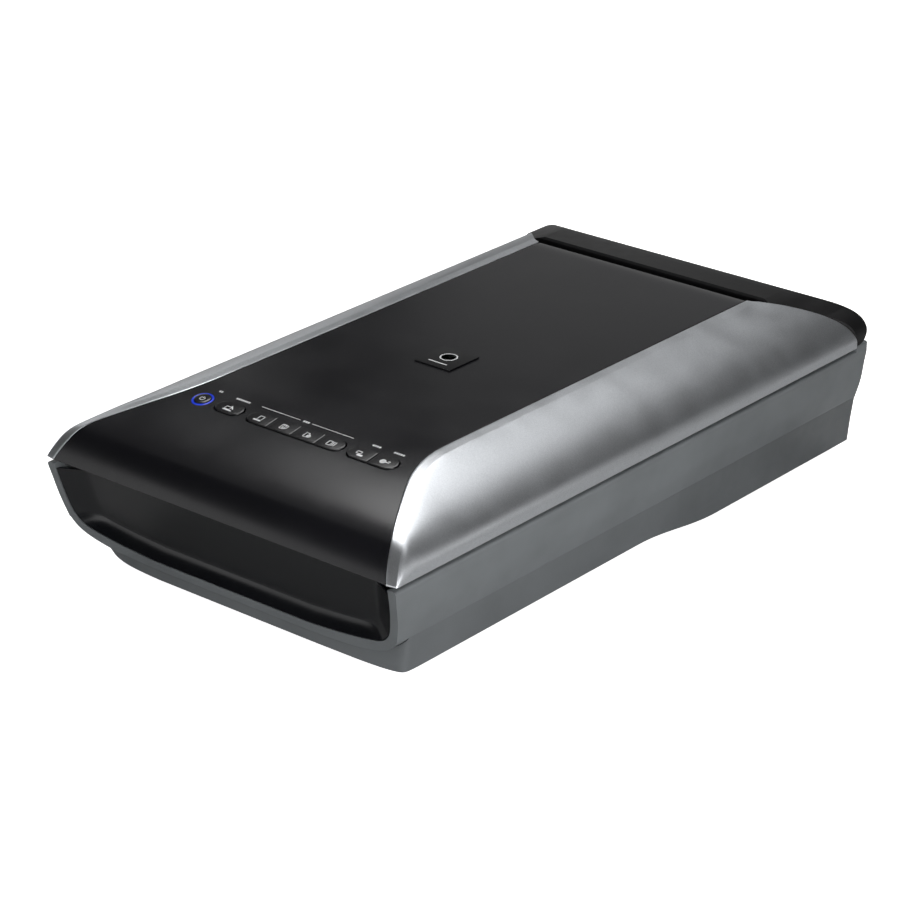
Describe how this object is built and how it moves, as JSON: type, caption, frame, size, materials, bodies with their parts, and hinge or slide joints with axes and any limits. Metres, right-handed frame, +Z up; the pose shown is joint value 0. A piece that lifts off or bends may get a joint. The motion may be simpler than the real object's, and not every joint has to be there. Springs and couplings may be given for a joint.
{
  "type": "flatbed scanner",
  "caption": "Low flatbed scanner with a hinged silver and black lid, a key row, a glass platen, a belt-driven scan carriage and a front hand recess.",
  "frame": {"origin": "middle of the footprint, on the table under the feet", "axes": "+X to the right seen from the front, -Y towards the front with the keys and hand recess, +Z up"},
  "size_m": [0.272, 0.46, 0.1117],
  "materials": {
    "gloss_black": "smooth black plastic",
    "satin_silver": "silver lacquer with fine grain",
    "case_grey": "dark grey, fine satin texture",
    "cover_black": "black, fine satin texture",
    "key_black": "dark keys with soft sheen",
    "blue_ring": "clear blue light ring",
    "inner_grey": "light grey inner plastic",
    "white_mat": "white foam-backed sheet",
    "platen_glass": "clear float glass",
    "steel": "plain steel",
    "brass": "turned brass",
    "belt_rubber": "ribbed rubber belt",
    "foot_rubber": "matt rubber",
    "carriage_black": "black inner moulding",
    "board_green": "coated circuit board",
    "mirror": "front-silvered strip",
    "lamp_white": "clear light guide"
  },
  "bodies": {
    "base": {"lower_case": "case_grey", "upper_case": "case_grey", "front_recess_panel": "gloss_black", "platen_glass": "platen_glass", "calibration_strip": "white_mat", "guide_rod": "steel", "guide_rail": "steel", "drive_belt": "belt_rubber", "stepper_motor": "steel", "motor_bracket": "steel", "idler_bracket": "steel", "main_board": "board_green", "usb_port": "steel", "power_jack": "carriage_black", "foot_front_left": "foot_rubber", "foot_front_right": "foot_rubber", "foot_rear_left": "foot_rubber", "foot_rear_right": "foot_rubber", "case_screw_1": "steel", "case_screw_2": "steel", "case_screw_3": "steel", "case_screw_4": "steel"},
    "hinge_posts": {"hinge_post_left": "cover_black", "hinge_post_right": "cover_black", "hinge_pin_left": "steel", "hinge_pin_right": "steel"},
    "lid": {"lid_top_panel": "gloss_black", "lid_trim_left": "satin_silver", "lid_trim_right": "satin_silver", "hinge_cover": "cover_black", "lid_inner_frame": "inner_grey", "film_light_window": "white_mat", "film_light_panel": "steel", "document_mat": "white_mat", "button_board": "board_green", "power_light_ring": "blue_ring", "badge_plate": "gloss_black", "hinge_bracket_left": "steel", "hinge_bracket_right": "steel"},
    "carriage": {"carriage_housing": "carriage_black", "led_light_bar": "lamp_white", "mirror_1": "mirror", "mirror_2": "mirror", "mirror_3": "mirror", "lens_barrel": "carriage_black", "sensor_board": "board_green", "belt_clamp": "inner_grey"},
    "drive_pulley": {"drive_pulley": "brass"},
    "idler_pulley": {"idler_pulley": "inner_grey"},
    "transport_lock": {"transport_lock": "inner_grey"},
    "power_button": {"power_button": "key_black"},
    "scan_button": {"scan_button": "key_black"},
    "file_button_1": {"file_button_1": "key_black"},
    "file_button_2": {"file_button_2": "key_black"},
    "file_button_3": {"file_button_3": "key_black"},
    "file_button_4": {"file_button_4": "key_black"},
    "copy_button": {"copy_button": "key_black"},
    "mail_button": {"mail_button": "key_black"}
  },
  "joints": [
    {"name": "post_lift", "type": "slide", "parent": "base", "child": "hinge_posts", "axis": [0, 0, 1], "range_m": [0, 0.02]},
    {"name": "lid_hinge", "type": "hinge", "parent": "hinge_posts", "child": "lid", "pos_m": [0, 0.2185, 0.089], "axis": [-1, 0, 0], "range_deg": [0, 90]},
    {"name": "carriage_travel", "type": "slide", "parent": "base", "child": "carriage", "axis": [0, -1, 0], "range_m": [0, 0.305]},
    {"name": "drive_pulley_spin", "type": "hinge", "parent": "base", "child": "drive_pulley", "pos_m": [-0.082, 0.202, 0.031], "axis": [0, 0, 1], "continuous": true},
    {"name": "idler_pulley_spin", "type": "hinge", "parent": "base", "child": "idler_pulley", "pos_m": [-0.082, -0.178, 0.031], "axis": [0, 0, 1], "continuous": true},
    {"name": "lock_slide", "type": "slide", "parent": "base", "child": "transport_lock", "axis": [0, 1, 0], "range_m": [0, 0.006]},
    {"name": "power_button_press", "type": "slide", "parent": "lid", "child": "power_button", "axis": [0, 0.1564, -0.9877], "range_m": [0, 0.0008], "stiffness_N_per_m": 400, "springref_m": -0.0004},
    {"name": "scan_button_press", "type": "slide", "parent": "lid", "child": "scan_button", "axis": [0, 0.1564, -0.9877], "range_m": [0, 0.0008], "stiffness_N_per_m": 400, "springref_m": -0.0004},
    {"name": "file_button_1_press", "type": "slide", "parent": "lid", "child": "file_button_1", "axis": [0, 0.1564, -0.9877], "range_m": [0, 0.0008], "stiffness_N_per_m": 400, "springref_m": -0.0004},
    {"name": "file_button_2_press", "type": "slide", "parent": "lid", "child": "file_button_2", "axis": [0, 0.1564, -0.9877], "range_m": [0, 0.0008], "stiffness_N_per_m": 400, "springref_m": -0.0004},
    {"name": "file_button_3_press", "type": "slide", "parent": "lid", "child": "file_button_3", "axis": [0, 0.1564, -0.9877], "range_m": [0, 0.0008], "stiffness_N_per_m": 400, "springref_m": -0.0004},
    {"name": "file_button_4_press", "type": "slide", "parent": "lid", "child": "file_button_4", "axis": [0, 0.1564, -0.9877], "range_m": [0, 0.0008], "stiffness_N_per_m": 400, "springref_m": -0.0004},
    {"name": "copy_button_press", "type": "slide", "parent": "lid", "child": "copy_button", "axis": [0, 0.1564, -0.9877], "range_m": [0, 0.0008], "stiffness_N_per_m": 400, "springref_m": -0.0004},
    {"name": "mail_button_press", "type": "slide", "parent": "lid", "child": "mail_button", "axis": [0, 0.1564, -0.9877], "range_m": [0, 0.0008], "stiffness_N_per_m": 400, "springref_m": -0.0004}
  ],
  "couplings": [
    {"joint": "drive_pulley_spin", "follows": "carriage_travel", "rad_per_m": -149.25},
    {"joint": "idler_pulley_spin", "follows": "carriage_travel", "rad_per_m": -149.25}
  ]
}
